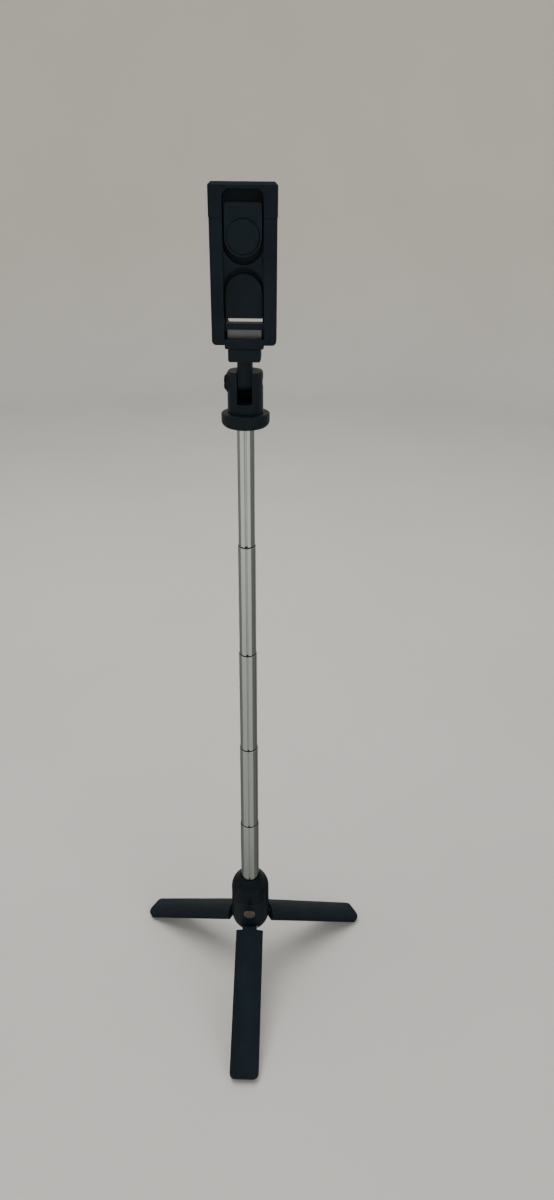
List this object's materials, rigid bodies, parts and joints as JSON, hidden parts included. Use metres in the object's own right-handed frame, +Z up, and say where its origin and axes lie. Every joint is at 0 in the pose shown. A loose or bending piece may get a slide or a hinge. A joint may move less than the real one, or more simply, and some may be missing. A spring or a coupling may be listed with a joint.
{
  "type": "selfie stick",
  "caption": "Telescopic selfie stick that stands on a folding tripod handle, with a tilting, sprung phone clamp and a docked push-button remote.",
  "frame": {"origin": "on the table, under the middle of the tripod's footprint", "axes": "+Z up along the stick, +Y towards the side that holds the phone, +X to the right when facing the remote's side"},
  "size_m": [0.2186, 0.1901, 0.682],
  "materials": {
    "hub_plastic": "moulded ABS, satin to glossy",
    "leg_plastic": "moulded ABS, fine satin",
    "rubber": "moulded silicone rubber",
    "tube_steel": "drawn stainless tube, polished",
    "copper": "copper-plated rivet head",
    "steel": "zinc-plated or sheet steel",
    "black_steel": "black oxide screw",
    "bush_plastic": "acetal",
    "clamp_plastic": "moulded ABS, fine satin",
    "remote_plastic": "moulded ABS, satin",
    "board": "glass-epoxy circuit board"
  },
  "bodies": {
    "hub": {"hub_body": "hub_plastic", "hub_cap": "hub_plastic", "guide_bush": "bush_plastic", "hub_rivets": "copper", "leg_pins": "steel"},
    "leg_front": {"leg_front": "leg_plastic", "foot_front": "rubber"},
    "leg_left": {"leg_left": "leg_plastic", "foot_left": "rubber"},
    "leg_right": {"leg_right": "leg_plastic", "foot_right": "rubber"},
    "tube_1": {"tube_1": "tube_steel", "tube_end_cap": "bush_plastic"},
    "tube_2": {"tube_2": "tube_steel"},
    "tube_3": {"tube_3": "tube_steel"},
    "tube_4": {"tube_4": "tube_steel"},
    "head": {"tube_5": "tube_steel", "tube_plug": "bush_plastic", "head_disc": "clamp_plastic", "head_fork": "clamp_plastic", "fork_screw": "steel", "hinge_screw": "black_steel", "hinge_nut": "steel"},
    "arm": {"tilt_arm": "clamp_plastic", "swivel_screw": "steel", "swivel_washer": "bush_plastic"},
    "clamp": {"clamp_foot": "clamp_plastic", "clamp_frame": "clamp_plastic", "steel_bracket": "steel", "clamp_cover": "clamp_plastic", "cover_screws": "steel", "back_pad": "rubber", "lower_jaw_pad": "rubber", "jaw_springs": "steel"},
    "jaw": {"slider_plate": "steel", "upper_jaw": "clamp_plastic", "upper_jaw_pad": "rubber"},
    "remote": {"remote_shell": "remote_plastic", "remote_back": "remote_plastic", "remote_board": "board", "remote_battery": "steel"},
    "button": {"remote_button": "remote_plastic"}
  },
  "joints": [
    {"name": "leg_front_fold", "type": "hinge", "parent": "hub", "child": "leg_front", "pos_m": [0, 0.01397, 0.068], "axis": [1, 0, 0], "range_deg": [0, 59.3]},
    {"name": "leg_left_fold", "type": "hinge", "parent": "hub", "child": "leg_left", "pos_m": [-0.01022, 0.03167, 0.068], "axis": [-0.5, -0.866, 0], "range_deg": [0, 59.3]},
    {"name": "leg_right_fold", "type": "hinge", "parent": "hub", "child": "leg_right", "pos_m": [0.01022, 0.03167, 0.068], "axis": [-0.5, 0.866, 0], "range_deg": [0, 59.3]},
    {"name": "tube_1_slide", "type": "slide", "parent": "hub", "child": "tube_1", "axis": [0, 0, -1], "range_m": [0, 0.0636]},
    {"name": "tube_2_slide", "type": "slide", "parent": "tube_1", "child": "tube_2", "axis": [0, 0, -1], "range_m": [0, 0.0821]},
    {"name": "tube_3_slide", "type": "slide", "parent": "tube_2", "child": "tube_3", "axis": [0, 0, -1], "range_m": [0, 0.0908]},
    {"name": "tube_4_slide", "type": "slide", "parent": "tube_3", "child": "tube_4", "axis": [0, 0, -1], "range_m": [0, 0.0902]},
    {"name": "tube_5_slide", "type": "slide", "parent": "tube_4", "child": "head", "axis": [0, 0, -1], "range_m": [0, 0.0866]},
    {"name": "head_tilt", "type": "hinge", "parent": "head", "child": "arm", "pos_m": [0, 0.02577, 0.5655], "axis": [1, 0, 0], "range_deg": [0, 90]},
    {"name": "clamp_swivel", "type": "hinge", "parent": "arm", "child": "clamp", "pos_m": [0, 0.02577, 0.5875], "axis": [0, 0, 1], "range_deg": [-180, 180]},
    {"name": "jaw_slide", "type": "slide", "parent": "clamp", "child": "jaw", "axis": [0, 0, 1], "range_m": [0, 0.03], "stiffness_N_per_m": 200, "springref_m": -0.015, "deforming": ["jaw_springs"]},
    {"name": "remote_release", "type": "slide", "parent": "clamp", "child": "remote", "axis": [0, -1, 0], "range_m": [0, 0.012]},
    {"name": "button_press", "type": "slide", "parent": "remote", "child": "button", "axis": [0, 1, 0], "range_m": [0, 0.0006], "stiffness_N_per_m": 3000, "springref_m": -0.0003}
  ]
}
